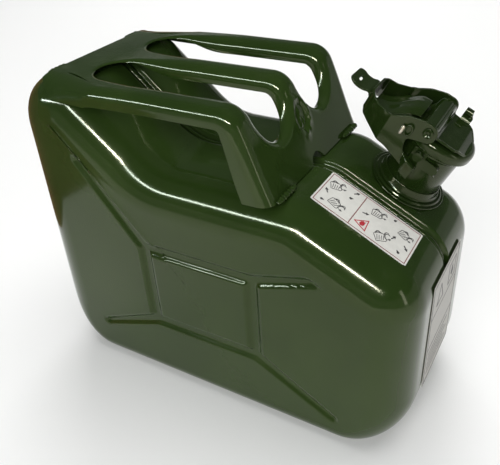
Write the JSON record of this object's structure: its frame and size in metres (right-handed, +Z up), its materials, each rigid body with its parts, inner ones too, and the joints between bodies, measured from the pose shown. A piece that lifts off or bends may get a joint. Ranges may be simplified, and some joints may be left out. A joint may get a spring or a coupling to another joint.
{
  "type": "fuel can",
  "caption": "Pressed steel ten litre fuel can with a three bar handle, an angled neck and a cam lever closure that swings open on a hinge.",
  "frame": {"origin": "middle of the face that the can stands on, on the plane of the seam between its two halves", "axes": "+X along the can towards the neck end, +Y across the can towards the half that carries the neck, +Z up"},
  "size_m": [0.3457, 0.165, 0.2728],
  "materials": {
    "enamel": "gloss",
    "zinc": "satin",
    "rubber": "matte",
    "label_film": "gloss"
  },
  "bodies": {
    "can": {"shell_near": "enamel", "shell_far": "enamel", "seam_weld": "enamel", "handle_pressing": "enamel", "foot_weld_near": "enamel", "foot_weld_far": "enamel", "rear_weld_near": "enamel", "rear_weld_far": "enamel", "shoulder_label": "label_film", "front_label": "label_film", "neck": "enamel", "neck_collar": "enamel", "neck_lug_near": "enamel", "neck_lug_far": "enamel", "hinge_bracket": "enamel", "hinge_pin": "zinc", "breather_tube": "enamel"},
    "cap": {"cap_lid": "enamel", "cap_yoke": "enamel", "cap_gasket": "rubber"},
    "lever": {"lever": "enamel", "pivot_rivet": "enamel", "lever_leaf": "enamel"},
    "locking_pin": {"locking_pin": "zinc"}
  },
  "joints": [
    {"name": "cap_hinge", "type": "hinge", "parent": "can", "child": "cap", "pos_m": [0.11643, 0.041, 0.23426], "axis": [0, -1, 0], "range_deg": [0, 86]},
    {"name": "lever_pivot", "type": "hinge", "parent": "cap", "child": "lever", "pos_m": [0.14403, 0.041, 0.23962], "axis": [0, 1, 0], "range_deg": [0, 129]},
    {"name": "locking_pin_slide", "type": "slide", "parent": "lever", "child": "locking_pin", "axis": [0, -1, 0], "range_m": [0, 0.008]}
  ],
  "couplings": [
    {"joint": "lever_pivot", "follows": "cap_hinge", "ratio": 1.5}
  ]
}
